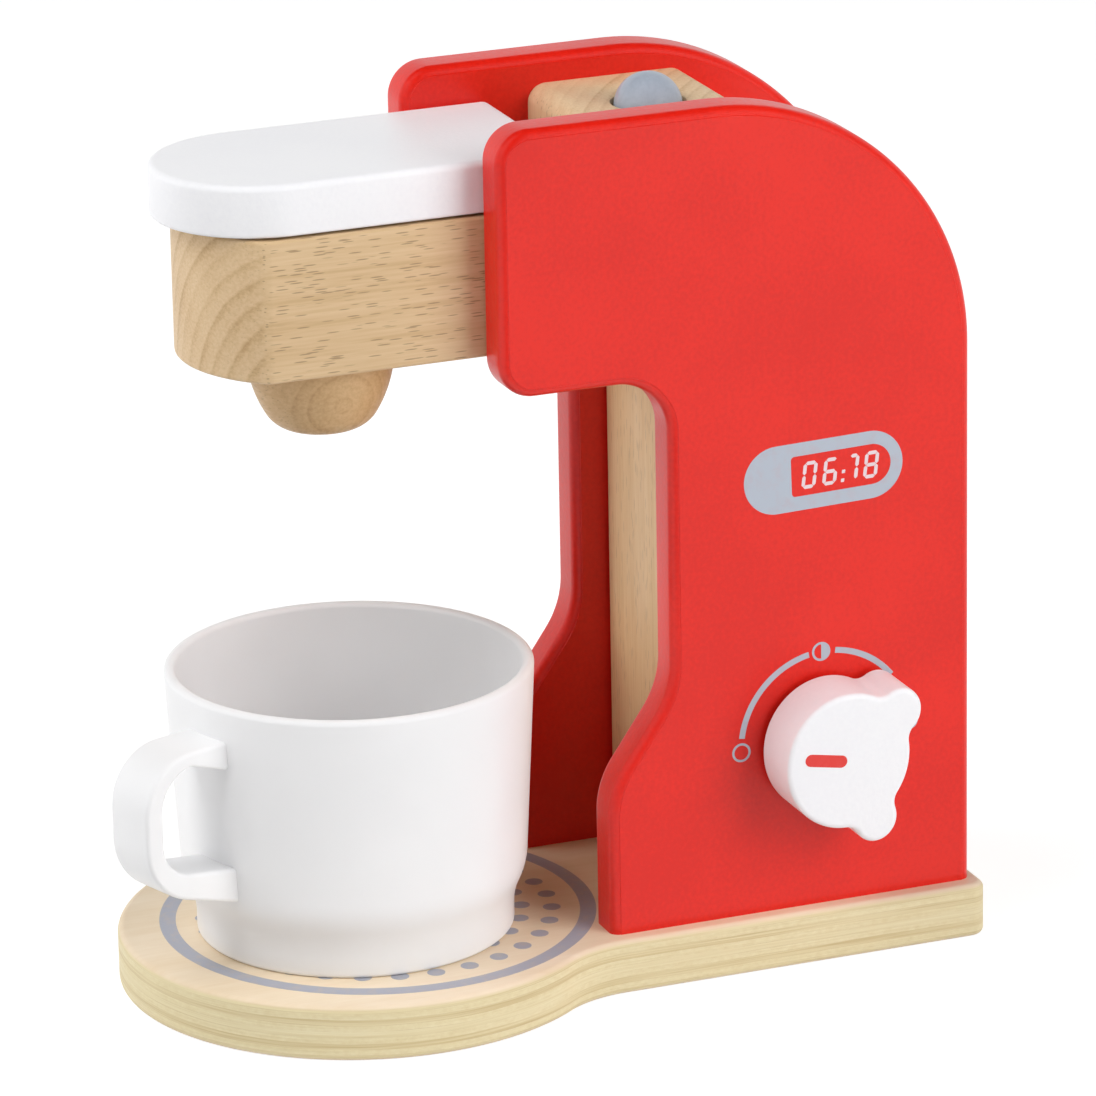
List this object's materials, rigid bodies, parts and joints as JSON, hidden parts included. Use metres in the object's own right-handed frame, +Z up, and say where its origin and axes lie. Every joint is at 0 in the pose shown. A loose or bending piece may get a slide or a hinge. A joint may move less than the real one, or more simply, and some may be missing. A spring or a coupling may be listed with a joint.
{
  "type": "toy coffee maker",
  "caption": "Toy coffee maker: rounded red side panels on a plywood base with a round tray, bowed wooden brew head with hinged lid and nozzle, press button, knob, and a handled cup.",
  "frame": {"origin": "on the underside of the base, midway across it and halfway along it", "axes": "+Z up, -Y forward from the post towards the tray and its cup, +X towards the side panel with the knob"},
  "size_m": [0.104, 0.1886, 0.1891],
  "materials": {
    "plywood": "clear satin lacquer over birch plywood, grey-blue printed rings and dots on top",
    "red_paint": "satin red paint, grey-blue and red printed display and dial marks on the knob's side",
    "beech": "clear satin lacquer over beech",
    "post_wood": "clear satin lacquer",
    "white_paint": "satin white paint",
    "grey_paint": "satin grey-blue paint",
    "dowel_wood": "bare beech",
    "steel": "bright",
    "cup_plastic": "satin white"
  },
  "bodies": {
    "housing": {"base_board": "plywood", "left_side_panel": "red_paint", "right_side_panel": "red_paint", "brew_head": "beech", "nozzle": "beech", "lid_hinge_pin": "steel", "button_block": "beech", "button_spring": "steel", "back_post": "post_wood", "head_dowels": "dowel_wood", "block_dowels": "dowel_wood", "post_dowels": "dowel_wood", "panel_screws": "steel", "post_screws": "steel"},
    "lid": {"lid": "white_paint"},
    "button": {"button_ball": "grey_paint", "button_stem": "dowel_wood", "button_collar": "steel", "collar_screw": "steel"},
    "knob": {"knob": "white_paint", "knob_axle": "dowel_wood", "axle_keeper": "dowel_wood"},
    "cup": {"cup": "cup_plastic"}
  },
  "joints": [
    {"name": "lid_hinge", "type": "hinge", "parent": "housing", "child": "lid", "pos_m": [0, -0.0037, 0.1753], "axis": [-1, 0, 0], "range_deg": [0, 90]},
    {"name": "button_press", "type": "slide", "parent": "housing", "child": "button", "axis": [0, 0, -1], "range_m": [0, 0.004], "stiffness_N_per_m": 300, "springref_m": -0.002, "deforming": ["button_spring"]},
    {"name": "knob_turn", "type": "hinge", "parent": "housing", "child": "knob", "pos_m": [0.0338, 0.0534, 0.0489], "axis": [1, 0, 0], "continuous": true},
    {"name": "cup_slide", "type": "slide", "parent": "housing", "child": "cup", "axis": [0, -1, 0], "range_m": [0, 0.1]}
  ]
}
